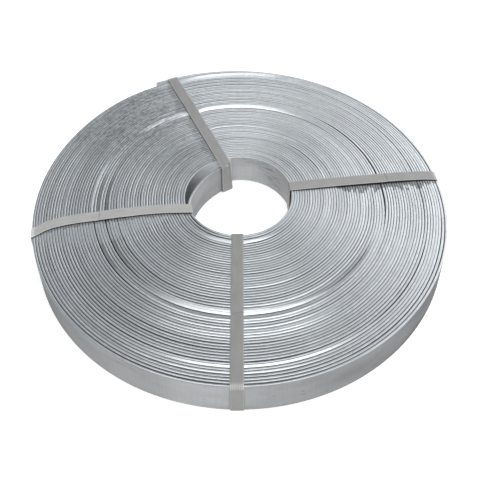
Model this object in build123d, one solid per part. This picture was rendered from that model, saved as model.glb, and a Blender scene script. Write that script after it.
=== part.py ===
from build123d import *
import math
import os

# Flat strip wound on edge into a pancake coil that lies on the floor, axis vertical.
# Four plastic bands are looped round its section. Millimetres, +Z up.

# strip
strip_width = 40.0        # height of the coil
strip_thickness = 3.0
winding_gap = 0.02        # mean air gap between two turns
turns = 58

# coil
bore_radius = 59.0
pitch = strip_thickness + winding_gap
outer_radius = bore_radius + turns * pitch

# grooves between neighbouring turns, on both ends of the coil
groove_depth = 1.1
groove_half_width = 0.42
edge_chamfer = 0.5

# start of the strip: it stands away from the pack over about a quarter turn,
# bowed into the bore. Angle in degrees, radius of its inner face.
bow_line = [
    (103.5, 48.6), (108.0, 48.1), (113.7, 47.7), (120.0, 46.8), (130.0, 45.9),
    (140.0, 45.8), (150.0, 46.4), (160.0, 47.5), (170.0, 49.4), (180.0, 52.2),
    (188.0, 55.1), (195.0, 57.9), (200.0, 59.6), (204.0, 60.4),
]

# end of the strip: its last eighth of a turn is sprung off the pack.
# Angle in degrees, radius of its outer face.
sprung_line = [
    (62.0, 233.3), (70.0, 233.9), (78.0, 234.4), (86.0, 235.0), (94.0, 235.8),
    (102.0, 236.8), (110.0, 237.9), (118.0, 239.1),
]

# bands
band_width = 13.0
band_thickness = 0.8
band_clearance = 0.03     # between the band's upright legs and the coil
band_inside_corner = 0.35
band_outside_corner = 1.15
# name, direction of the band along the coil's face in degrees, distance of its
# middle line from the coil's axis (positive to the left, looking outwards),
# where its legs in the bore and outside stand, along that direction (None: on the
# pack's wall; the other one goes round both of the strip's free ends)
bands = [
    ("strap_front", 269.4, -1.7, None, None),
    ("strap_right", 5.0, 6.4, None, None),
    ("strap_back_left", 113.7, -5.6, 47.25, 238.6),
    ("strap_left", 190.3, 9.0, None, None),
]

coil_low = band_thickness
coil_high = coil_low + strip_width


def coil_section():
    """Section of the wound coil in the XZ plane: one flat-topped tooth a turn."""
    top = []
    low = []
    for i in range(turns):
        r0 = bore_radius + i * pitch
        r1 = r0 + pitch
        left = edge_chamfer if i == 0 else groove_half_width
        right = edge_chamfer if i == turns - 1 else groove_half_width
        left_z = edge_chamfer if i == 0 else groove_depth
        right_z = edge_chamfer if i == turns - 1 else groove_depth
        if i == 0:
            top.append((r0, coil_high - left_z))
            low.append((r0, coil_low + left_z))
        top.append((r0 + left, coil_high))
        top.append((r1 - right, coil_high))
        top.append((r1, coil_high - right_z))
        low.append((r0 + left, coil_low))
        low.append((r1 - right, coil_low))
        low.append((r1, coil_low + right_z))
    return top + low[::-1]


def make_pack():
    points = [Vector(x, 0, z) for x, z in coil_section()]
    face = Face(Wire.make_polygon(points, close=True))
    return Solid.revolve(face, 360, Axis.Z)


def make_free_end(line, thickness):
    """A length of strip that stands free of the pack, upright, with one face along
    the line and the other a thickness further out (further in if negative)."""
    first = [
        Vector(r * math.cos(math.radians(a)), r * math.sin(math.radians(a)), 0)
        for a, r in line
    ]
    second = []
    for i, p in enumerate(first):
        q = first[min(i + 1, len(first) - 1)] - first[max(i - 1, 0)]
        n = Vector(q.Y, -q.X, 0).normalized()
        second.append(p + n * thickness)
    edges = [
        Edge.make_spline(first),
        Edge.make_line(first[-1], second[-1]),
        Edge.make_spline(second),
        Edge.make_line(second[0], first[0]),
    ]
    face = Face(Wire(edges)).moved(Location((0, 0, coil_low)))
    if face.normal_at().Z < 0:
        face = -face
    return extrude(face, amount=strip_width)


def make_band(angle, offset, bore_leg, outside_leg):
    """A closed loop of flat band in an upright plane, round the coil's section."""
    half = band_width / 2
    far = abs(offset) + half
    near = max(0.0, abs(offset) - half)
    inner = bore_leg or math.sqrt(bore_radius ** 2 - far ** 2)
    outer = outside_leg or math.sqrt(outer_radius ** 2 - near ** 2)
    inner -= band_clearance
    outer += band_clearance
    length = outer - inner
    # sketch plane: x along the band, y up, normal across the band
    along = Vector(math.cos(math.radians(angle)), math.sin(math.radians(angle)), 0)
    across = Vector(along.Y, -along.X, 0)
    middle = along * ((inner + outer) / 2) - across * offset
    plane = Plane(
        origin=middle + Vector(0, 0, coil_low + strip_width / 2),
        x_dir=along, z_dir=across,
    )
    outside = RectangleRounded(
        length + 2 * band_thickness, strip_width + 2 * band_thickness, band_outside_corner
    )
    inside = RectangleRounded(length, strip_width, band_inside_corner)
    return extrude(plane * (outside - inside), amount=half, both=True)


bow = make_free_end(bow_line, strip_thickness - 0.1)
sprung_end = make_free_end(sprung_line, -strip_thickness)
shapes = {"strip_coil": (make_pack() + bow + sprung_end).solid()}
for name, angle, offset, bore_leg, outside_leg in bands:
    shapes[name] = make_band(angle, offset, bore_leg, outside_leg)

# origin on the floor, under the middle of the whole object's box
boxes = [shape.bounding_box() for shape in shapes.values()]
low_x, high_x = min(b.min.X for b in boxes), max(b.max.X for b in boxes)
low_y, high_y = min(b.min.Y for b in boxes), max(b.max.Y for b in boxes)
shift = Vector(-(low_x + high_x) / 2, -(low_y + high_y) / 2, 0)

os.makedirs("parts", exist_ok=True)
for name, shape in shapes.items():
    export_step(shape.moved(Location(shift)), f"parts/{name}.step")

print("coil radius", round(outer_radius, 2), "axis at", shift)
print("strip length m", round(math.pi * (outer_radius + bore_radius) * turns / 1000, 2))
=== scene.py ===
import math

import bpy
import numpy as np
from mathutils import Matrix, Vector


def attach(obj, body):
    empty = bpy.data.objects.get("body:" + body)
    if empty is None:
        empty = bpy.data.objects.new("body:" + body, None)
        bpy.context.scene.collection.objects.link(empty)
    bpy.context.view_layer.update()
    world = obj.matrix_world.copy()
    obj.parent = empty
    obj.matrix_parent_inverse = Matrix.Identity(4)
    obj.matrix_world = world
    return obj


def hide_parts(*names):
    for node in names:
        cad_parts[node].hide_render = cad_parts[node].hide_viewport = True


# Looks of a pancake coil of aluminium strip held by four plastic straps.
# Lengths below are millimetres unless said otherwise; the scene is in metres.

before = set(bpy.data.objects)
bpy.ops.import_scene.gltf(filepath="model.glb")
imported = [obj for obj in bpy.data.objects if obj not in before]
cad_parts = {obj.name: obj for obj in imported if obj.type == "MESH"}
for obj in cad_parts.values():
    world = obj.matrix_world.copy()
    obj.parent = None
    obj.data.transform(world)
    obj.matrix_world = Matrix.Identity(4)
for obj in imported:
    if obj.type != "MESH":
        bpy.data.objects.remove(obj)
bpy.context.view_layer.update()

MM = 0.001
AXIS = np.array([0.0, -0.209])      # the coil's axis in the frame
LOW, HIGH = 0.8, 40.8               # underside and top of the coil
rng = np.random.RandomState(41)


def smooth(x):
    x = np.clip(x, 0.0, 1.0)
    return x * x * (3 - 2 * x)


def wander(at, step):
    """Smooth random curve of about unit size, with a new value every step degrees."""
    knots = rng.uniform(-1, 1, int((at.max() - at.min()) / step) + 4)
    x = (at - at.min()) / step
    i = x.astype(int)
    f = smooth(x - i)
    return knots[i] * (1 - f) + knots[i + 1] * f


# ---------------------------------------------------------------- straps, plan data
# direction of the strap in degrees, width, its middle line's offset to the left
# (distance from the axis, offset), arch above the turns, place of the weld's step, and a factor on how light the
# strap is drawn
STRAPS = {
    "strap_front": dict(
        angle=269.4, width=12.7, arch=0.10, weld=158.0, weld_way=1, lightness=0.91,
        line=[(40.0, -1.72), (60.0, -1.82), (140.9, -2.11), (233.8, -2.31), (237.8, -2.31)],
    ),
    "strap_right": dict(
        angle=5.0, width=13.4, arch=0.85, weld=174.0, weld_way=1, lightness=1.09,
        line=[(40.0, 5.35), (59.9, 5.46), (104.9, 5.87), (150.9, 5.98), (190.9, 5.88), (215.9, 5.29), (232.8, 3.69), (236.8, 3.49)],
    ),
    "strap_back_left": dict(
        angle=113.7, width=13.6, arch=0.35, weld=173.0, weld_way=-1, lightness=0.97,
        line=[(40.1, -5.11), (47.1, -5.11), (58.1, -5.32), (92.1, -5.83), (137.1, -5.64), (172.1, -6.15), (210.2, -6.16), (236.2, -6.17)],
    ),
    "strap_left": dict(
        angle=190.1, width=12.6, arch=0.30, weld=159.0, weld_way=-1, lightness=1.42,
        line=[(40.0, 12.47), (60.0, 10.38), (75.0, 7.78), (99.9, 4.49), (133.9, 2.70), (160.9, 2.10), (183.9, 1.51), (199.9, 2.21), (216.9, 5.42), (228.8, 11.02), (235.8, 13.02)],
    ),
}


def strap_line(name, u):
    """Offset of a strap's middle line at distance u along its direction."""
    points = np.array(STRAPS[name]["line"], float)
    x, y = points[:, 0], points[:, 1]
    slope = np.gradient(y, x)
    u = np.clip(u, x[0], x[-1])
    i = np.clip(np.searchsorted(x, u, side="right") - 1, 0, len(x) - 2)
    h = x[i + 1] - x[i]
    t = (u - x[i]) / h
    return (
        (2 * t**3 - 3 * t**2 + 1) * y[i] + (t**3 - 2 * t**2 + t) * h * slope[i]
        + (-2 * t**3 + 3 * t**2) * y[i + 1] + (t**3 - t**2) * h * slope[i + 1]
    )


def strap_axes(name):
    a = math.radians(STRAPS[name]["angle"])
    along = np.array([math.cos(a), math.sin(a)])
    return along, np.array([-along[1], along[0]])


def under_strap(x, y, inner, outer):
    """1 under a strap, falling to 0 between inner and outer mm from its middle line."""
    cover = np.zeros_like(x)
    for name in STRAPS:
        along, left = strap_axes(name)
        u = x * along[0] + y * along[1]
        v = x * left[0] + y * left[1]
        far = np.abs(v - strap_line(name, u))
        part = 1 - smooth((far - inner) / (outer - inner))
        cover = np.maximum(cover, np.where(u > 20, part, 0))
    return cover


# ---------------------------------------------------------------- winding
THICK = 2.82                        # strip
PITCH = 3.02
PER_TURN = 160
STEP = 360.0 / PER_TURN
START = 104.4                       # angle of the strip's inner end
STEPS = 9126                        # the outer end comes at 117.9 degrees
phi = START + STEP * np.arange(STEPS + 1)
END = phi[-1]
JOIN = 208.0                        # here the bowed free length meets the pack
BORE = 59.11                        # radius of the pack's bore there

bow = np.array([
    (104.3, 48.58), (107.9, 48.19), (113.6, 47.72), (119.9, 46.93), (129.9, 46.07), (139.9, 46.00),
    (149.9, 46.61), (159.8, 47.73), (169.8, 49.64), (179.8, 52.44), (187.7, 55.25), (194.7, 57.35),
    (200.7, 58.59), (207.7, 59.13), (215.7, 59.20),
])
rim = np.array([                    # outer face of the last turn, counted from 118 degrees
    (117.9, 232.0), (123.9, 232.7), (131.9, 233.1), (141.8, 232.5), (151.8, 231.9), (174.7, 231.9),
    (199.7, 232.3), (249.8, 233.1), (299.9, 234.0), (349.7, 233.1), (369.6, 232.3), (399.7, 231.9),
    (421.7, 232.8), (429.8, 233.4), (437.8, 234.1), (445.8, 235.1), (453.9, 236.1), (461.9, 237.1),
    (469.9, 238.2), (477.9, 239.3),
])


def curve(points, at):
    x, y = points[:, 0], points[:, 1]
    slope = np.gradient(y, x)
    at = np.clip(at, x[0], x[-1])
    i = np.clip(np.searchsorted(x, at, side="right") - 1, 0, len(x) - 2)
    h = x[i + 1] - x[i]
    t = (at - x[i]) / h
    return (
        (2 * t**3 - 3 * t**2 + 1) * y[i] + (t**3 - 2 * t**2 + t) * h * slope[i]
        + (-2 * t**3 + 3 * t**2) * y[i + 1] + (t**3 - t**2) * h * slope[i + 1]
    )


def wind(gaps):
    """Radius of the strip's inner face along it, given the extra gap outside each point."""
    inner = np.zeros_like(phi)
    inner[free] = curve(bow, phi[free])
    for j in range(PER_TURN):
        column = np.arange(j, len(phi), PER_TURN)
        column = column[~free[column]]
        base = BORE + PITCH * (phi[column[0]] - JOIN) / 360
        target = curve(rim, np.array([phi[column[-1]] - (END - 360) + 118.0]))[0]
        extra = gaps[column[:-1]]
        spare = target - base - THICK * len(column) - extra.sum()
        shares = weight[column[:-1]]
        extra = extra + spare * shares / shares.sum()
        inner[column] = base + np.concatenate([[0], np.cumsum(THICK + extra)])
    return inner


def turn_at(radius, angle):
    """Running angle of the turn whose middle is nearest to a radius, at an angle."""
    column = np.arange(round((angle - START) / STEP) % PER_TURN, len(phi), PER_TURN)
    column = column[~free[column]]
    return phi[column[np.argmin(np.abs(inner[column] + THICK / 2 - radius))]]


def stretch(centre, half, fall):
    """1 along the strip within half degrees of a running angle, falling to 0."""
    return smooth((half - np.abs(phi - centre)) / fall + 0.0)


# loose places: radius and angle of the gap, half length, fall, width of the gap
GAPS = [
    (165.9, 20, 42, 22, 1.6),
    (166.3, 208, 30, 18, 0.7),
    (153.9, 206, 30, 18, 0.8),
    (157.7, 314, 22, 15, 0.45),
    (60.8, 215, 45, 35, 0.55),
    (149.9, 90, 40, 22, 0.50),
    (173.9, 89, 42, 25, 0.50),
    (178.2, 92, 36, 25, 0.30),
    (205.4, 88, 45, 25, 0.55),
    (212.2, 89, 40, 20, 0.55),
    (126.0, 89, 35, 20, 0.35),
    (101.4, 38, 26, 16, 0.70),
    (110.6, 32, 24, 14, 0.55),
    (78.2, 31, 30, 20, 0.40),
    (64.5, 262, 60, 30, 0.35),
    (208.3, 14, 34, 20, 0.60),
    (191.2, 34, 26, 16, 0.40),
    (213.6, 322, 22, 14, 0.60),
    (226.8, 325, 34, 20, 0.45),
    (231.0, 348, 30, 20, 0.30),
    (228.5, 40, 50, 30, 0.50),
    (141.6, 215, 45, 30, 0.40),
    (196.0, 232, 50, 30, 0.22),
    (208.7, 250, 50, 30, 0.22),
]
# turns that stand out: radius, angle, half length, fall, height, how bright its edge is
# painted (above zero a painted highlight, below zero painted shade), slope of its edge
PROUD = [
    (157.8, 267, 46, 28, 0.45, 0.50, -0.22),
    (154.8, 262, 38, 28, 0.35, 0.2, -0.20),
    (161.5, 266, 44, 24, -0.35, -0.5, 0.06),
    (165.5, 266, 44, 26, 0.20, 0.6, -0.10),
    (168.8, 266, 42, 26, 0.10, 0.4, -0.08),
    (173.7, 268, 42, 26, 0.15, 0.5, -0.10),
    (179.3, 268, 42, 26, 0.10, 0.4, -0.08),
    (183.8, 268, 42, 26, 0.10, 0.4, -0.08),
    (213.3, 274, 40, 26, 0.22, 0.10, -0.19),
    (70.8, 264, 50, 30, 0.25, 0.9, -0.23),
    (156.6, 87, 46, 22, 0.80, 0.9, 0.41),
    (159.6, 90, 42, 22, 0.70, 0.8, 0.39),
    (161.4, 122, 18, 9, 0.45, 0.55, 0.27),
    (164.4, 125, 16, 9, 0.40, 0.45, 0.22),
    (222.1, 92, 26, 16, 0.15, 0.75, 0.34),
    (225.1, 92, 28, 16, 0.20, 1.0, 0.41),
    (228.1, 92, 28, 16, 0.20, 1.0, 0.41),
    (168.9, 14, 50, 35, 0.35, 0.35, 0.0),
    (167.3, 176, 24, 15, 0.50, 0.55, 0.16),
    (161.9, 181, 18, 12, -1.1, -0.7, 0.0),
    (149.9, 182, 18, 12, -1.1, -0.8, 0.0),
    (164.7, 208, 24, 14, -0.6, -0.7, 0.0),
    (152.3, 206, 24, 14, -0.6, -0.7, 0.0),
    (165.9, 235, 20, 14, 0.30, 0.7, -0.12),
    (159.5, 318, 20, 14, -0.7, -0.7, 0.0),
    (156.3, 311, 22, 14, -0.7, -0.7, 0.0),
    (231.3, 322, 28, 14, 0.20, 0.45, 0.0),
    (150.8, 300, 50, 25, 0.20, 0.4, -0.10),
    (220.9, 262, 30, 15, 0.10, 0.5, -0.08),
    (119.0, 90, 35, 20, 0.30, 0.5, 0.12),
    (128.7, 275, 30, 20, 0.10, 0.4, -0.08),
]

# gap outside each point of the strip
weight = 1 + 0.75 * wander(phi, 47) + 0.35 * wander(phi, 21)
weight = np.clip(weight, 0.12, None)
free = phi < JOIN
spring = END - 360
loose = np.where(phi > spring - 56, 4.2 * smooth((phi - spring + 56) / 60) ** 1.15, 0) * (phi <= spring)
inner = wind(loose)                 # radius of the strip's inner face
for radius, angle, half, fall, width in GAPS:
    loose = loose + width * stretch(turn_at(radius - THICK / 2 - 0.1, angle), half, fall)
    inner = wind(loose)

# height of the upper edge, its roundness, tilt and brightness along the strip; the brightness is random tone plus
# painted light and shade
rise = 0.22 * wander(phi, 75) + 0.16 * wander(phi, 33) + 0.10 * wander(phi, 170)
leftness = 0.5 - 0.5 * np.cos(np.radians(phi))
round_top = np.interp(
    phi % 360, [0, 60, 100, 140, 180, 200, 225, 260, 300, 330, 360],
    [0.58, 0.62, 0.75, 0.80, 0.82, 1.0, 1.15, 1.15, 1.0, 0.70, 0.58],
) + 0.18 * wander(phi, 64)
right_front = smooth((phi % 360 - 282) / 12) * smooth((348 - phi % 360) / 14) * smooth((inner - 140) / 20)
round_top = round_top - 0.22 * right_front
tilt = (0.07 * wander(phi, 90) + 0.04 * wander(phi, 29)) * (0.45 + 0.6 * leftness)
tone_and_painted_light = (0.22 * wander(phi, 55) + 0.16 * wander(phi, 140) + 0.08 * wander(phi, 17)) * (0.40 + 0.75 * leftness)
# painted light and shade on the edges, by angle around the coil
PAINTED_LIGHT_BY_ANGLE = np.array([
    (-20, 0.28), (0, 0.15), (20, 0.16), (40, 0.0), (60, 0.05), (80, 0.18), (100, 0.08), (110, -0.04),
    (118, -0.35), (130, -0.31), (145, -0.25), (160, -0.18), (180, -0.04), (200, 0.40), (220, 0.30),
    (240, -0.06), (260, -0.27), (280, -0.33), (300, -0.27), (320, 0.13), (340, 0.28), (360, 0.15),
], float)
tone_and_painted_light += np.interp(phi % 360, PAINTED_LIGHT_BY_ANGLE[:, 0], PAINTED_LIGHT_BY_ANGLE[:, 1])
# standing turns get a painted highlight on their edges, sunk turns painted shade
for radius, angle, half, fall, height, bright, slope in PROUD:
    k = stretch(turn_at(radius, angle), half, fall)
    rise += height * k
    tone_and_painted_light = tone_and_painted_light * (1 - k) + bright * k
    round_top = round_top * (1 - k) + (0.42 if abs(slope) > 0.15 or bright < 0 else 1.05) * k
    tilt = tilt * (1 - k) + slope * k
angle = np.radians(phi)
middle = inner + THICK / 2
# a strip beside the left strap where the turns' edges look flatter
reach = np.interp(middle, [70, 93, 131, 156, 195, 230], [198, 204, 205, 205, 201, 196])
calm = smooth((phi % 360 - 189) / 2.5) * smooth((reach + 1 - phi % 360) / 2.5) * (middle > 68)
round_top = round_top * (1 - calm) + 0.55 * calm
tone_and_painted_light = tone_and_painted_light * (1 - calm) + 0.50 * calm
tilt = tilt * (1 - 0.8 * calm)
rough_patch = np.interp(phi % 360, [0, 100, 116, 122, 148, 164, 360], [0.15, 0.15, 0.3, 0.9, 0.9, 0.12, 0.15])
rough_patch = rough_patch * np.interp(middle, [60, 130, 160, 235], [0.3, 0.5, 1.0, 1.0])
pressed = under_strap(middle * np.cos(angle), middle * np.sin(angle), 6.8, 16.0)
rise = np.clip(rise, -1.4, 1.0)
rise = rise * (1 - pressed) + (np.minimum(rise, 0) * 0.4 - 0.35) * pressed
fall_low = np.clip(0.18 * wander(phi, 80) + 0.12 * wander(phi, 31), -0.45, 0.45)
fall_low = fall_low * (1 - pressed) + 0.04 * pressed
round_top = np.clip(round_top, 0.3, 1.25)


def build(name, co, faces, node, sharp=None, normals=None, attributes=()):
    mesh = bpy.data.meshes.new(name)
    mesh.vertices.add(len(co))
    mesh.vertices.foreach_set("co", (np.asarray(co) * MM).astype(np.float32).ravel())
    counts = np.array([len(f) for f in faces], np.int32)
    loops = np.concatenate([np.asarray(f, np.int32) for f in faces])
    mesh.loops.add(len(loops))
    mesh.loops.foreach_set("vertex_index", loops)
    mesh.polygons.add(len(counts))
    mesh.polygons.foreach_set("loop_start", np.concatenate([[0], np.cumsum(counts)[:-1]]).astype(np.int32))
    mesh.update(calc_edges=True)
    mesh.validate()
    mesh.polygons.foreach_set("use_smooth", np.ones(len(mesh.polygons), bool))
    for key, values in attributes:
        mesh.attributes.new(key, "FLOAT", "POINT").data.foreach_set("value", np.asarray(values, np.float32))
    if normals is not None:
        mesh.normals_split_custom_set(normals)
    elif sharp is not None:
        mesh.set_sharp_from_angle(angle=math.radians(sharp))
    piece = bpy.data.objects.new(name, mesh)
    bpy.context.scene.collection.objects.link(piece)
    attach(piece, "root")
    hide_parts(node)
    return piece


def make_strip():
    n = len(phi)
    t = THICK
    c = round_top
    top = HIGH + rise
    low = LOW + fall_low
    q = 1 - math.sqrt(0.5)
    # section from the inner side over the top to the outer side and back underneath
    sec = [
        (0 * c, top - c, -1, 0, 0), (c * q, top - c * q, -1, 1, 1), (c, top, 0, 1, 1),
        (t - c, top, 0, 1, 1), (t - c * q, top - c * q, 1, 1, 1), (t + 0 * c, top - c, 1, 0, 0),
        (t + 0 * c, low + 0.8, 1, 0, 0), (t - 0.8 + 0 * c, low, 0, -1, 1),
        (0.8 + 0 * c, low, 0, -1, 1), (0 * c, low + 0.8, -1, 0, 0),
    ]
    x, y = inner * np.cos(angle), inner * np.sin(angle)
    dx, dy = np.gradient(x), np.gradient(y)
    size = np.hypot(dx, dy)
    tx, ty = dx / size, dy / size
    nx, ny = ty, -tx                        # outwards
    length = np.concatenate([[0], np.cumsum(np.hypot(np.diff(x), np.diff(y)))]) * MM
    co = np.zeros((n, 10, 3))
    no = np.zeros((n, 10, 3))
    edge = np.zeros((n, 10))
    for k, (s, z, a, b, e) in enumerate(sec):
        s = np.clip(s, 0, t)
        lean = tilt * (s - t / 2) if k < 6 else 0 * tilt
        co[:, k, 0] = x + nx * s + AXIS[0]
        co[:, k, 1] = y + ny * s + AXIS[1]
        co[:, k, 2] = z + lean
        m = math.hypot(a, b)
        a, b = a / m, b / m
        turn = tilt if (k < 6 and b) else 0 * tilt
        ra = a * np.cos(turn) - b * np.sin(turn)
        rb = a * np.sin(turn) + b * np.cos(turn)
        no[:, k, 0], no[:, k, 1], no[:, k, 2] = nx * ra, ny * ra, rb
        edge[:, k] = e
    # the sides' tone by angle around the coil: painted light and shade on the flat faces
    side = np.repeat(np.interp(
        phi % 360, [0, 60, 100, 140, 175, 200, 240, 270, 300, 330, 360],
        [0.85, 0.70, 0.60, 0.55, 0.50, 0.18, 0.16, 0.33, 0.50, 0.70, 0.85],
    )[:, None], 10, 1)
    bore = (phi >= JOIN - 10) & (phi < JOIN + 360)
    behind = (phi > START + 355) & (phi < JOIN + 355)
    # painted light on the bore's wall, by angle
    light = np.interp(phi % 360, [0, 40, 80, 300, 360], [0.95, 1.05, 1.22, 1.2, 0.95])
    side[bore, 0] = side[bore, 9] = light[bore]
    side[phi < JOIN - 10, 0] = side[phi < JOIN - 10, 9] = 0.80
    # painted light and shade in the gap behind the bow: light where it opens, dark where it closes
    bow_light_and_shade = np.interp(phi % 360, [104, 120, 140, 160, 185, 208], [1.95, 1.95, 1.25, 0.46, 0.10, 0.07])
    side[behind, 0] = side[behind, 9] = bow_light_and_shade[behind]
    side[phi < JOIN, 5] = side[phi < JOIN, 6] = bow_light_and_shade[phi < JOIN]
    # painted light in the gap at the sprung end
    sprung = phi > END - 60
    under = (phi > spring - 60) & (phi <= spring)
    side[sprung, 0] = side[sprung, 9] = 2.0
    side[under, 5] = side[under, 6] = 2.0
    scuff = np.zeros((n, 10))
    scuff[:, 0] = scuff[:, 9] = bore * np.interp(phi % 360, [18, 32, 78, 92, 360], [0, 1, 1, 0, 0])
    scuff[behind, 0] = scuff[behind, 9] = np.interp(phi[behind] % 360, [118, 126, 150, 170], [0, 0.8, 0.8, 0])
    # painted light and shade on the outer wall, by angle
    outer = phi > END - 362
    side_light_and_shade = np.interp(
        phi % 360,
        [0, 20, 90, 170, 180, 212, 222, 232, 240, 250, 256, 262, 276, 284, 292, 300, 306, 312, 318, 326, 340, 360],
        [0.15, 0.4, 1.0, 0.9, 0.42, 0.46, 0.68, 0.84, 0.92, 0.94, 1.12, 1.02, 0.75, 0.76, 0.71, 0.63, 0.54, 0.44, 0.32, 0.30, 0.18, 0.15],
    )
    side[outer, 5] = side[outer, 6] = side_light_and_shade[outer]
    i = np.arange(n - 1)[:, None]
    k = np.arange(10)[None, :]
    k2 = (k + 1) % 10
    quads = np.stack([i * 10 + k, i * 10 + k2, (i + 1) * 10 + k2, (i + 1) * 10 + k], -1).reshape(-1, 4)
    first = np.arange(10)[::-1]
    last = (n - 1) * 10 + np.arange(10)
    faces = list(quads) + [first, last]
    normals = no.reshape(-1, 3)[quads.ravel()]
    t0, t1 = [-tx[0], -ty[0], 0], [tx[-1], ty[-1], 0]
    normals = np.concatenate([normals, np.tile(t0, (10, 1)), np.tile(t1, (10, 1))])
    each = lambda v: np.repeat(v[:, None], 10, 1).ravel()
    return build(
        "coil_strip", co.reshape(-1, 3), faces, "strip_coil",
        normals=[tuple(v) for v in normals],
        attributes=[
            ("along", each(length)), ("edge", edge.ravel()), ("tone_and_painted_light", each(tone_and_painted_light)),
            ("turn", each(phi / 360)), ("side", side.ravel()), ("rough", each(rough_patch)),
            ("scuff", scuff.ravel()),
        ],
    )


# ---------------------------------------------------------------- straps
def rim_radius(theta):
    """Radius of what a strap's outer leg lies on, at an angle in degrees."""
    at = (theta - 118.0) % 360.0
    return curve(rim, at + 118.0)


def bore_radius(theta):
    at = (theta - START) % 360.0 + START
    return np.where(at < JOIN, curve(bow, at), BORE + PITCH * (at - JOIN) / 360)


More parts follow.
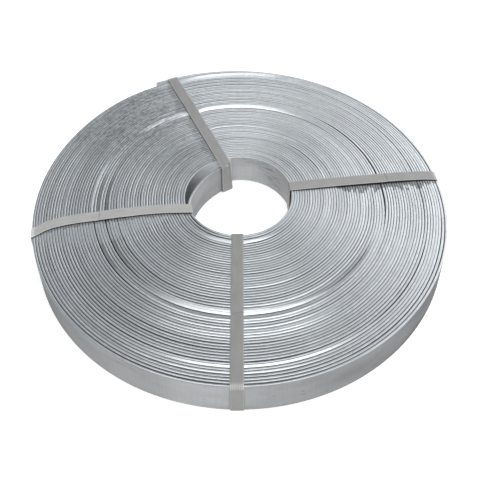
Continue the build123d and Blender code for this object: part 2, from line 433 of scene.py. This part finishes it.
def make_strap(name):
    spec = STRAPS[name]
    half = spec["width"] / 2
    thick = 0.8
    h = thick / 2
    along, left = strap_axes(name)
    across = np.linspace(-half, half, 11)
    across = np.sign(across) * half * (1 - (1 - np.abs(across) / half) ** 1.15)

    def leg_place(outer):
        guess = 233.0 if outer else 57.0
        v = strap_line(name, np.array([guess]))[0] + across
        best = []
        for w in v:
            theta = spec["angle"] + math.degrees(math.asin(w / guess))
            r = rim_radius(np.array([theta]))[0] if outer else bore_radius(np.array([theta]))[0]
            best.append(math.sqrt(r * r - w * w))
        return (max(best) + 0.22) if outer else (min(best) - 0.18)

    out_u = leg_place(True)
    in_u = leg_place(False)
    in_top = np.full(len(across), in_u)
    in_low = np.full(len(across), in_u)
    if name == "strap_back_left":
        # this leg leans over the strip's free end, more at one side than at the other
        side = (across + half) / (2 * half)             # 1 at the left edge
        in_top = 52.6 + (45.75 - 52.6) * smooth(side * 0.9 + 0.1) * 0.35 + (45.75 - 52.6) * side * 0.65
        in_low = 46.9 + (45.7 - 46.9) * side
        out_u = 239.0
    rows = []                                           # each: u, z, weld height, for all across
    lateral = []
    path = []

    def add(u, z, lift=0.0, lat=None):
        rows.append((u + 0 * across, z + 0 * across, lift))
        lateral.append(strap_line(name, np.array([np.mean(u)]))[0] if lat is None else lat)

    rc_out, rc_in = 1.5, 1.1
    gap_top = 0.10
    # upper run, from the bore outwards
    a0, a1 = in_top + rc_in, out_u - rc_out
    m = 150
    weld = spec["weld"]
    way = spec["weld_way"]
    for i in range(m + 1):
        f = i / m
        u = a0 * (1 - f) + a1 * f
        z = HIGH + gap_top + h + spec["arch"] * np.sin(math.pi * f) ** 0.7
        d = (u.mean() - weld) * way
        lift = 0.32 * float(smooth(np.array([(d + 0.12) / 0.24]))[0] * (1 - smooth(np.array([(d - 22) / 8.0]))[0]))
        add(u, z, lift)
    lat_out, lat_in = lateral[-1], lateral[0]
    top_z = HIGH + gap_top + h

    def corner(cu, cz, r, start, n=8):
        for i in range(1, n + 1):
            a = math.radians(start - 90 * i / n)
            add(cu + (r + h) * math.cos(a), cz + (r + h) * math.sin(a), 0.0, current[0])

    current = [strap_line(name, np.array([out_u]))[0]]
    lat_out = current[0]
    corner(out_u - rc_out, top_z - h - rc_out, rc_out, 90)
    leg = 20
    z0, z1 = top_z - h - rc_out, 0.4 + h + rc_out
    for i in range(1, leg):
        f = i / leg
        bulge = 0.22 * math.sin(math.pi * f)
        add(out_u + h + bulge + 0 * across, z0 + (z1 - z0) * f, 0.0, lat_out)
    add(out_u + h + 0 * across, z1, 0.0, lat_out)
    corner(out_u - rc_out, z1, rc_out, 0)
    m2 = 60
    for i in range(1, m2):
        f = i / m2
        u = (out_u - rc_out) * (1 - f) + (in_low + rc_in) * f
        add(u, z1 - rc_out - h + 0 * u, 0.0, lat_out * (1 - f) + lat_in * f)
    current[0] = lat_in
    zb = z1 - rc_out + rc_in
    add(in_low + rc_in, zb - rc_in - h, 0.0, lat_in)
    corner(in_low + rc_in, zb, rc_in, 270)
    for i in range(1, leg):
        f = i / leg
        u = in_low * (1 - smooth(np.array([f]))[0]) + in_top * smooth(np.array([f]))[0]
        add(u - h, zb + (top_z - h - rc_in - zb) * f, 0.0, lat_in)
    add(in_top - h, top_z - h - rc_in, 0.0, lat_in)
    for i in range(1, 8):
        a = math.radians(180 - 90 * i / 8)
        add(in_top + rc_in + (rc_in + h) * math.cos(a), top_z - h - rc_in + (rc_in + h) * math.sin(a), 0.0, lat_in)

    n = len(rows)
    w = len(across)
    lateral_arr = np.array(lateral)
    mid = np.zeros((n, w, 3))
    for i, (u, z, lift) in enumerate(rows):
        v = lateral_arr[i] + across
        mid[i, :, 0] = along[0] * u + left[0] * v + AXIS[0]
        mid[i, :, 1] = along[1] * u + left[1] * v + AXIS[1]
        mid[i, :, 2] = z
    ds = np.roll(mid, -1, 0) - np.roll(mid, 1, 0)
    dv = np.gradient(mid, axis=1)
    no = np.cross(ds, dv)
    no /= np.linalg.norm(no, axis=2, keepdims=True)
    centre = np.array([along[0] * 145, along[1] * 145, 20.0])
    if ((mid[5, w // 2] - centre) * no[5, w // 2]).sum() < 0:
        no = -no
    lift = np.array([r[2] for r in rows])[:, None, None]
    shell = np.ones(w)
    shell[[0, -1]] = 0.62
    shell = shell[None, :, None]
    outer = mid + no * (h * shell + lift)
    inner_side = mid - no * h * shell
    side = dv / np.linalg.norm(dv, axis=2, keepdims=True)
    left_edge = mid[:, -1] + side[:, -1] * 0.16 + no[:, -1] * lift[:, 0] * 0.5
    right_edge = mid[:, 0] - side[:, 0] * 0.16 + no[:, 0] * lift[:, 0] * 0.5
    ring = np.concatenate(
        [outer, left_edge[:, None], inner_side[:, ::-1], right_edge[:, None]], axis=1
    )
    c = ring.shape[1]
    steps = np.linalg.norm(np.diff(mid[:, w // 2], axis=0), axis=1)
    run = np.concatenate([[0], np.cumsum(steps)]) * MM
    cross_at = np.concatenate([across, [half + 0.2], across[::-1], [-half - 0.2]]) * MM
    i = np.arange(n)[:, None]
    k = np.arange(c)[None, :]
    k2 = (k + 1) % c
    i2 = (i + 1) % n
    quads = np.stack([i * c + k, i * c + k2, i2 * c + k2, i2 * c + k], -1).reshape(-1, 4)
    flat = ring.reshape(-1, 3)
    p = flat[quads[5]]
    face_normal = np.cross(p[1] - p[0], p[2] - p[1])
    if (face_normal * no[0, 5]).sum() < 0:
        quads = quads[:, ::-1]
    weld_zone = np.array([1.0 if r[2] > 0.02 else 0.0 for r in rows])
    place = np.array([np.mean(r[0]) for r in rows])
    high = np.array([np.mean(r[1]) for r in rows])
    # where the painted highlight on the outer bend goes
    bend_highlight = smooth(1 - np.hypot(np.maximum(out_u - place, 0), np.maximum(HIGH - high, 0)) / 5.0)
    seam = np.where(high > HIGH, (place - spec["weld"]) * way, 99.0)
    return build(
        name + "_band", flat, list(quads), name, sharp=50,
        attributes=[
            ("run", np.repeat(run[:, None], c, 1).ravel()),
            ("cross", np.tile(cross_at[None, :], (n, 1)).ravel()),
            ("weld", np.repeat(weld_zone[:, None], c, 1).ravel()),
            ("bend_highlight", np.repeat(bend_highlight[:, None], c, 1).ravel()),
            ("seam", np.repeat(seam[:, None], c, 1).ravel()),
            ("lightness", np.full(n * c, spec["lightness"])),
        ],
    )


# ---------------------------------------------------------------- materials
def fill(band, stops):
    """Stops of a colour ramp, from the lowest to the highest place."""
    elements = band.elements
    elements[0].position, elements[0].color = stops[0]
    for place, colour in stops[1:-1]:
        elements.new(place).color = colour
    elements[len(elements) - 1].position = stops[-1][0]
    elements[len(elements) - 1].color = stops[-1][1]


class Nodes:
    def __init__(self, name):
        self.material = bpy.data.materials.new(name)
        self.material.use_nodes = True
        self.tree = self.material.node_tree
        self.shader = self.tree.nodes["Principled BSDF"]

    def put(self, socket, value):
        if isinstance(value, bpy.types.NodeSocket):
            self.tree.links.new(value, socket)
        else:
            socket.default_value = value

    def attribute(self, name):
        node = self.tree.nodes.new("ShaderNodeAttribute")
        node.attribute_name = name
        return node.outputs["Fac"]

    def math(self, operation, a, b=0.0, c=0.0, clamp=False):
        node = self.tree.nodes.new("ShaderNodeMath")
        node.operation = operation
        node.use_clamp = clamp
        for socket, value in zip(node.inputs, (a, b, c)):
            self.put(socket, value)
        return node.outputs[0]

    def vector(self, x, y, z=0.0):
        node = self.tree.nodes.new("ShaderNodeCombineXYZ")
        for socket, value in zip(node.inputs, (x, y, z)):
            self.put(socket, value)
        return node.outputs[0]

    def noise(self, vector, scale=1.0, detail=2.0, rough=0.5):
        node = self.tree.nodes.new("ShaderNodeTexNoise")
        self.put(node.inputs["Vector"], vector)
        node.inputs["Scale"].default_value = scale
        node.inputs["Detail"].default_value = detail
        node.inputs["Roughness"].default_value = rough
        return node.outputs["Fac"]

    def spread(self, value, low, high, to_low, to_high):
        node = self.tree.nodes.new("ShaderNodeMapRange")
        for key, v in (("Value", value), ("From Min", low), ("From Max", high), ("To Min", to_low), ("To Max", to_high)):
            self.put(node.inputs[key], v)
        return node.outputs[0]

    def mix(self, factor, a, b, blend="MIX"):
        node = self.tree.nodes.new("ShaderNodeMix")
        node.data_type = "RGBA"
        node.blend_type = blend
        self.put(node.inputs[0], factor)
        self.put(node.inputs[6], a)
        self.put(node.inputs[7], b)
        return node.outputs[2]

    def gray(self, value):
        node = self.tree.nodes.new("ShaderNodeCombineColor")
        for socket in node.inputs:
            self.put(socket, value)
        return node.outputs[0]

    def ramp(self, at, low, high, stops, scale, shift):
        """Line through stops, read at a place from 0 to 1; values are value / scale + shift."""
        node = self.tree.nodes.new("ShaderNodeValToRGB")
        fill(node.color_ramp, [
            ((t - low) / (high - low), (value / scale + shift,) * 3 + (1.0,)) for t, value in stops
        ])
        self.put(node.inputs[0], at)
        return node.outputs[0]

    def height(self):
        coordinates = self.tree.nodes.new("ShaderNodeTexCoord")
        split = self.tree.nodes.new("ShaderNodeSeparateXYZ")
        self.tree.links.new(coordinates.outputs["Object"], split.inputs[0])
        return split.outputs[2]

    def bump(self, value, strength, distance):
        node = self.tree.nodes.new("ShaderNodeBump")
        node.inputs["Strength"].default_value = strength
        node.inputs["Distance"].default_value = distance
        self.put(node.inputs["Height"], value)
        return node.outputs[0]


# painted shadow along a strap's side: which side (-1 right, 1 left), how dark, and the
# width of the painted shadow at distances along the strap, in mm
STRAP_SHADOW = {
    "strap_right": (-1, 0.58, [(112, 0.0), (124, 8.0), (142, 11.5), (156, 11.5), (160, 9.0), (181, 9.5), (198, 9.0), (214, 8.0), (228, 4.0), (232, 1.0)]),
    "strap_back_left": (1, 0.30, [(55, 3.0), (90, 7.5), (138, 7.0), (148, 1.5), (158, 1.5), (168, 8.5), (205, 8.0), (228, 5.0)]),
    "strap_left": (1, 0.35, [(60, 2.0), (120, 3.0), (200, 3.0), (228, 1.0)]),
}


def painted_strap_shadow(m):
    """Factor on the tone of the turns' edges: painted shadow, less than 1 along some straps' sides."""
    coordinates = m.tree.nodes.new("ShaderNodeTexCoord")
    split = m.tree.nodes.new("ShaderNodeSeparateXYZ")
    m.tree.links.new(coordinates.outputs["Object"], split.inputs[0])
    x = m.math("MULTIPLY", split.outputs[0], 1000.0)
    y = m.math("SUBTRACT", m.math("MULTIPLY", split.outputs[1], 1000.0), float(AXIS[1]))
    speck = m.noise(m.vector(m.math("MULTIPLY", m.attribute("turn"), 2.3), m.math("MULTIPLY", x, 0.05), m.math("MULTIPLY", y, 0.05)), 1, 2, 0.6)
    total = None
    for name, (way, dark, widths) in STRAP_SHADOW.items():
        along, left = strap_axes(name)
        u = m.math("ADD", m.math("MULTIPLY", x, float(along[0])), m.math("MULTIPLY", y, float(along[1])))
        v = m.math("ADD", m.math("MULTIPLY", x, float(left[0])), m.math("MULTIPLY", y, float(left[1])))
        low, high = widths[0][0] - 20.0, widths[-1][0] + 6.0
        at = m.spread(u, low, high, 0.0, 1.0)
        stops = [(t, float(strap_line(name, np.array([t]))[0])) for t in np.linspace(low, high, 9)]
        middle_line = m.math("MULTIPLY", m.math("SUBTRACT", m.ramp(at, low, high, stops, 40.0, 0.5), 0.5), 40.0)
        width = m.math("MULTIPLY", m.ramp(at, low, high, [(low, 0.0)] + widths + [(high, 0.0)], 10.0, 0.0), 10.0)
        width = m.math("MULTIPLY", width, m.spread(speck, 0.32, 0.68, 0.25, 1.55))
        off = m.math("SUBTRACT", m.math("MULTIPLY", m.math("SUBTRACT", v, middle_line), float(way)), STRAPS[name]["width"] / 2)
        fade = m.math("SUBTRACT", 1.0, m.math("DIVIDE", m.math("SUBTRACT", off, width), 2.6), clamp=True)
        on = m.math("MULTIPLY", m.math("GREATER_THAN", off, -3.0), m.math("GREATER_THAN", width, 0.3))
        on = m.math("MULTIPLY", on, m.math("GREATER_THAN", u, 20.0))
        part = m.math("MULTIPLY", m.math("MULTIPLY", fade, on), dark)
        total = part if total is None else m.math("MAXIMUM", total, part)
    return m.math("SUBTRACT", 1.0, total)


def aluminium():
    m = Nodes("mill aluminium")
    along, edge, tone_and_painted_light, turn = (m.attribute(k) for k in ("along", "edge", "tone_and_painted_light", "turn"))
    side_light_and_shade, rough_patch, scuff = (m.attribute(k) for k in ("side", "rough", "scuff"))
    z = m.height()
    cloud = m.noise(m.vector(m.math("MULTIPLY", along, 9), m.math("MULTIPLY", z, 26), turn), 1, 3, 0.55)
    rolled = m.noise(m.vector(m.math("MULTIPLY", along, 4), m.math("MULTIPLY", z, 2600), turn), 1, 2, 0.6)
    brushed = m.noise(m.vector(m.math("MULTIPLY", along, 700), m.math("MULTIPLY", z, 30), turn), 1, 2, 0.6)
    grain = m.noise(m.vector(m.math("MULTIPLY", along, 260), m.math("MULTIPLY", z, 900), m.math("MULTIPLY", turn, 7)), 1, 3, 0.65)
    patch = m.noise(m.vector(m.math("MULTIPLY", along, 150), m.math("MULTIPLY", z, 10), m.math("MULTIPLY", turn, 5)), 1, 3, 0.7)
    worn = m.noise(m.vector(m.math("MULTIPLY", along, 35), m.math("MULTIPLY", z, 80), m.math("MULTIPLY", turn, 3)), 1, 2, 0.5)
    # flat sides: dull, clouded, with faint brush marks up and down
    side = m.spread(cloud, 0.3, 0.7, 0.335, 0.485)
    side = m.math("MULTIPLY", side, m.spread(brushed, 0.25, 0.75, 0.95, 1.04))
    side = m.math("MULTIPLY", side, m.spread(rolled, 0.25, 0.75, 0.97, 1.02))
    fleck = m.noise(m.vector(m.math("MULTIPLY", along, 90), m.math("MULTIPLY", z, 160), turn), 1, 2, 0.6)
    side = m.math("MULTIPLY", side, m.math("SUBTRACT", 1.0, m.spread(fleck, 0.66, 0.72, 0.0, 0.22)))
    spot = m.noise(m.vector(m.math("MULTIPLY", along, 60), m.math("MULTIPLY", z, 330), turn), 1, 3, 0.6)
    area = m.noise(m.vector(m.math("MULTIPLY", along, 38), m.math("MULTIPLY", z, 42), turn), 1, 1, 0.5)
    marks = m.math("MULTIPLY", m.spread(spot, 0.48, 0.64, 0.0, 0.34), m.spread(area, 0.38, 0.58, 0.0, 1.0))
    side = m.math("MULTIPLY", side, m.math("SUBTRACT", 1.0, m.math("MULTIPLY", scuff, marks)))
    # painted light and shade on the sides, from the side attribute
    side = m.math("MULTIPLY", side, side_light_and_shade)
    side_colour = m.mix(1.0, m.gray(side), (0.985, 0.995, 1.0, 1.0), "MULTIPLY")
    # rolled edges: brighter, each length of strip with its own tone, plus painted light and shade by angle and on
    # standing and sunk turns
    rim_tone = m.math("ADD", 0.61, m.math("MULTIPLY", tone_and_painted_light, 0.30))
    rim_tone = m.math("MULTIPLY", rim_tone, m.spread(grain, 0.3, 0.7, 0.93, 1.05))
    rim_tone = m.math("MULTIPLY", rim_tone, m.spread(worn, 0.3, 0.7, 0.95, 1.04))
    depth = m.math("MULTIPLY", rough_patch, m.spread(patch, 0.35, 0.62, 0.42, -0.12))
    rim_tone = m.math("MULTIPLY", rim_tone, m.math("SUBTRACT", 1.0, depth))
    # painted shadow of the straps on the turns' edges
    rim_tone = m.math("MULTIPLY", rim_tone, painted_strap_shadow(m))
    rim_tone = m.math("MINIMUM", rim_tone, 0.98)
    edge_colour = m.mix(1.0, m.gray(rim_tone), (0.955, 0.98, 1.0, 1.0), "MULTIPLY")
    m.put(m.shader.inputs["Base Color"], m.mix(edge, side_colour, edge_colour))
    m.put(m.shader.inputs["Metallic"], m.spread(edge, 0.0, 1.0, 0.05, 1.0))
    m.shader.inputs["Specular IOR Level"].default_value = 0.05
    dull = m.spread(cloud, 0.3, 0.7, 0.56, 0.46)
    polish = m.math("SUBTRACT", m.spread(worn, 0.3, 0.7, 0.37, 0.32), m.math("MULTIPLY", tone_and_painted_light, 0.06))
    rough = m.math("ADD", m.math("MULTIPLY", dull, m.math("SUBTRACT", 1.0, edge)), m.math("MULTIPLY", polish, edge))
    m.put(m.shader.inputs["Roughness"], rough)
    relief = m.math("ADD", m.math("MULTIPLY", brushed, 0.5), m.math("MULTIPLY", grain, 0.5))
    m.put(m.shader.inputs["Normal"], m.bump(relief, 0.07, 0.00006))
    return m.material


def plastic():
    m = Nodes("embossed strapping")
    run, cross, weld = (m.attribute(k) for k in ("run", "cross", "weld"))
    pitch = 2.1 * MM
    a = m.math("MULTIPLY", m.math("ADD", run, m.math("MULTIPLY", cross, 0.8)), math.pi / pitch)
    b = m.math("MULTIPLY", m.math("SUBTRACT", run, m.math("MULTIPLY", cross, 0.8)), math.pi / pitch)
    ridge_a = m.math("POWER", m.math("ABSOLUTE", m.math("SINE", a)), 6.0)
    ridge_b = m.math("POWER", m.math("ABSOLUTE", m.math("SINE", b)), 6.0)
    lattice = m.math("MAXIMUM", ridge_a, ridge_b)
    dirt = m.noise(m.vector(m.math("MULTIPLY", run, 60), m.math("MULTIPLY", cross, 160)), 1, 3, 0.6)
    fibre = m.noise(m.vector(m.math("MULTIPLY", run, 120), m.math("MULTIPLY", cross, 2600)), 1, 2, 0.6)
    tone = m.spread(dirt, 0.3, 0.7, 0.262, 0.305)
    tone = m.math("MULTIPLY", tone, m.spread(fibre, 0.3, 0.7, 0.97, 1.03))
    tone = m.math("MULTIPLY", tone, m.spread(lattice, 0.0, 1.0, 0.93, 1.10))
    tone = m.math("MULTIPLY", tone, m.spread(weld, 0.0, 1.0, 1.0, 0.97))
    bend_highlight, seam, lightness = (m.attribute(k) for k in ("bend_highlight", "seam", "lightness"))
    # each strap drawn lighter or darker by its own factor
    tone = m.math("MULTIPLY", tone, lightness)
    # painted highlight on the strap's outer bend, in ribs across it
    rib = m.math("ABSOLUTE", m.math("SINE", m.math("MULTIPLY", cross, math.pi / (1.6 * MM))))
    tone = m.math("MULTIPLY", tone, m.math("ADD", 1.0, m.math("MULTIPLY", bend_highlight, m.spread(rib, 0.0, 1.0, 0.05, 1.1))))
    slant = m.math("ADD", seam, m.math("MULTIPLY", cross, 180.0))
    line = m.spread(m.math("ABSOLUTE", slant), 0.35, 0.9, 0.82, 1.0)
    tone = m.math("MULTIPLY", tone, m.math("MINIMUM", line, 1.0))
    # lighter edges: partly a painted highlight where the rounded edges catch the light, partly burnish
    edge_highlight_and_wear = m.spread(m.math("ABSOLUTE", cross), 0.0054, 0.0062, 1.0, 1.28)
    tone = m.math("MULTIPLY", tone, edge_highlight_and_wear)
    m.put(m.shader.inputs["Base Color"], m.mix(1.0, m.gray(tone), (1.0, 0.985, 0.945, 1.0), "MULTIPLY"))
    m.put(m.shader.inputs["Roughness"], m.spread(dirt, 0.3, 0.7, 0.42, 0.55))
    m.shader.inputs["Specular IOR Level"].default_value = 0.45
    m.put(m.shader.inputs["Normal"], m.bump(lattice, 0.55, 0.00012))
    return m.material


def plain(name, colour, rough):
    m = Nodes(name)
    m.shader.inputs["Base Color"].default_value = (*colour, 1.0)
    m.shader.inputs["Roughness"].default_value = rough
    m.shader.inputs["Specular IOR Level"].default_value = 0.2
    return m.material


metal = aluminium()
strapping = plastic()
strip = make_strip()
strip.data.materials.append(metal)
for name in STRAPS:
    make_strap(name).data.materials.append(strapping)
for name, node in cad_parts.items():
    node.data.materials.clear()
    node.data.materials.append(metal if name == "strip_coil" else strapping)

# ---------------------------------------------------------------- floor
floor_mesh = bpy.data.meshes.new("floor")
side = 6.0
floor_mesh.from_pydata(
    [(-side, -side, 0), (side, -side, 0), (side, side, 0), (-side, side, 0)], [], [(0, 1, 2, 3)]
)
floor = bpy.data.objects.new("floor", floor_mesh)
bpy.context.scene.collection.objects.link(floor)
paint = plain("floor paint", (0.86, 0.856, 0.852), 0.9)
for node in paint.node_tree.nodes:
    if node.type == "BSDF_PRINCIPLED":
        node.inputs["Emission Color"].default_value = (1.0, 1.0, 1.0, 1.0)
        node.inputs["Emission Strength"].default_value = 0.50
floor_mesh.materials.append(paint)

# ---------------------------------------------------------------- light
world = bpy.data.worlds.new("studio")
bpy.context.scene.world = world
world.use_nodes = True
tree = world.node_tree
background = tree.nodes["Background"]
ways = tree.nodes.new("ShaderNodeTexCoord")
axes = tree.nodes.new("ShaderNodeSeparateXYZ")
tree.links.new(ways.outputs["Generated"], axes.inputs[0])
place = tree.nodes.new("ShaderNodeMapRange")
for key, value in (("From Min", -1.0), ("From Max", 1.0)):
    place.inputs[key].default_value = value
tree.links.new(axes.outputs[0], place.inputs["Value"])
ramp = tree.nodes.new("ShaderNodeValToRGB")
sky = [(-0.9, 0.24), (-0.45, 0.32), (-0.2, 0.46), (0.0, 0.60), (0.2, 0.82), (0.45, 0.88), (0.95, 0.60)]
fill(ramp.color_ramp, [(0.5 + 0.5 * x, (0.915 * light, 0.958 * light, light, 1.0)) for x, light in sky])
tree.links.new(place.outputs[0], ramp.inputs[0])
tree.links.new(ramp.outputs[0], background.inputs["Color"])
background.inputs["Strength"].default_value = 1.0


def softbox(name, place, aim, width, height, radiance, colour=(1, 1, 1)):
    light = bpy.data.lights.new(name, "AREA")
    light.shape = "RECTANGLE"
    light.size, light.size_y = width, height
    light.energy = radiance * math.pi * width * height
    light.color = colour
    lamp = bpy.data.objects.new(name, light)
    lamp.location = place
    lamp.rotation_euler = (Vector(aim) - Vector(place)).to_track_quat("-Z", "Y").to_euler()
    bpy.context.scene.collection.objects.link(lamp)
    return lamp


softbox("back light", (1.05, 2.0, 1.75), (0.05, 0.0, 0.02), 1.5, 1.2, 0.85)
softbox("right light", (1.5, 0.85, 0.60), (0.1, 0.0, 0.02), 1.7, 0.9, 1.35)
softbox("top light", (0.05, -0.45, 2.15), (0.0, 0.0, 0.0), 2.2, 1.4, 2.75)

# ---------------------------------------------------------------- camera
R = 0.23416
pitch, yaw, roll = 0.6501780, 0.0051090, -0.0131682
forward = Vector((math.sin(yaw) * math.cos(pitch), math.cos(yaw) * math.cos(pitch), -math.sin(pitch)))
right = Vector((math.cos(yaw), -math.sin(yaw), 0))
up = right.cross(forward)
right2 = right * math.cos(roll) + up * math.sin(roll)
up2 = up * math.cos(roll) - right * math.sin(roll)
data = bpy.data.cameras.new("camera")
data.sensor_width = 36.0
data.lens = 724.78 * 36 / 480
data.shift_y = -0.3438
data.clip_start, data.clip_end = 0.01, 50
camera = bpy.data.objects.new("camera", data)
matrix = Matrix((right2, up2, -forward)).transposed().to_4x4()
matrix.translation = Vector((0.0, -2.4746488 * R + AXIS[1] * MM, 2.6154232 * R + HIGH * MM))
camera.matrix_world = matrix
bpy.context.scene.collection.objects.link(camera)
bpy.context.scene.camera = camera
bpy.context.scene.view_settings.view_transform = "Standard"
